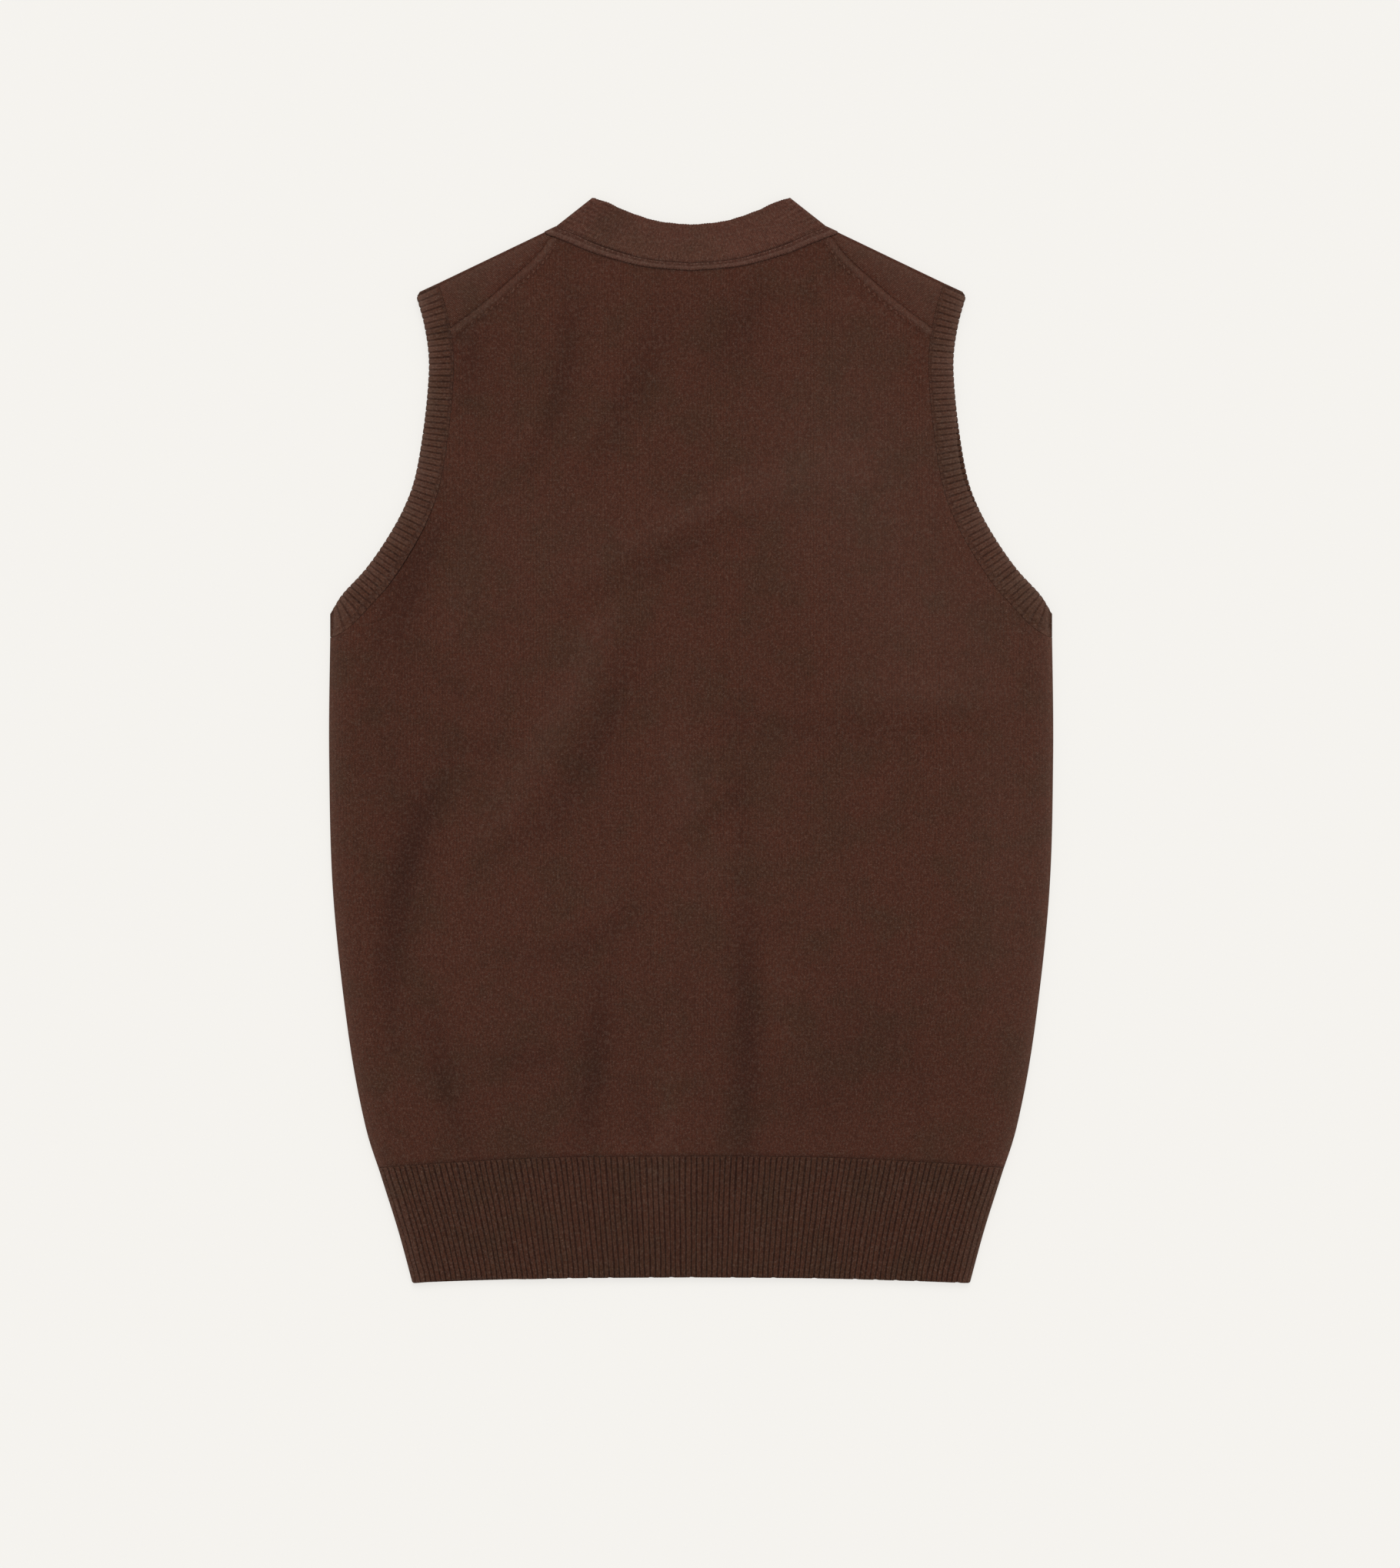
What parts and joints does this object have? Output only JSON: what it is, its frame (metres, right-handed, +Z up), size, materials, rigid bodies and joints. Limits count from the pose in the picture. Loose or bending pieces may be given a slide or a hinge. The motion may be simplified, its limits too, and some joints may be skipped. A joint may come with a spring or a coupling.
{
  "type": "knitted sweater vest",
  "caption": "Knitted wool sweater vest laid flat with its back upwards, with a ribbed hem, ribbed armhole bands and a plain neckband.",
  "frame": {"origin": "centre of the vest's box on the surface that it lies on", "axes": "+Y from the hem to the neck, +X to the wearer's right as the vest lies with its back upwards, +Z up from the surface"},
  "size_m": [0.4712, 0.7049, 0.0078],
  "materials": {
    "body_wool": "dark brown heathered lambswool in fine plain knit, matt with a light fuzz",
    "hem_rib_wool": "the same wool in one-by-one rib, darker in its valleys",
    "band_wool": "the same wool in short one-by-one rib across the band",
    "trim_wool": "the same wool as a raised linked edge",
    "neckband_wool": "the same wool in a fine double band, slightly lighter"
  },
  "bodies": {
    "root": {"front_hem_rib": "hem_rib_wool", "front_panel": "body_wool", "back_hem_rib": "hem_rib_wool", "back_panel": "body_wool", "armhole_band_left": "band_wool", "armhole_band_right": "band_wool", "neck_trim": "trim_wool", "neckband": "neckband_wool"}
  },
  "joints": []
}
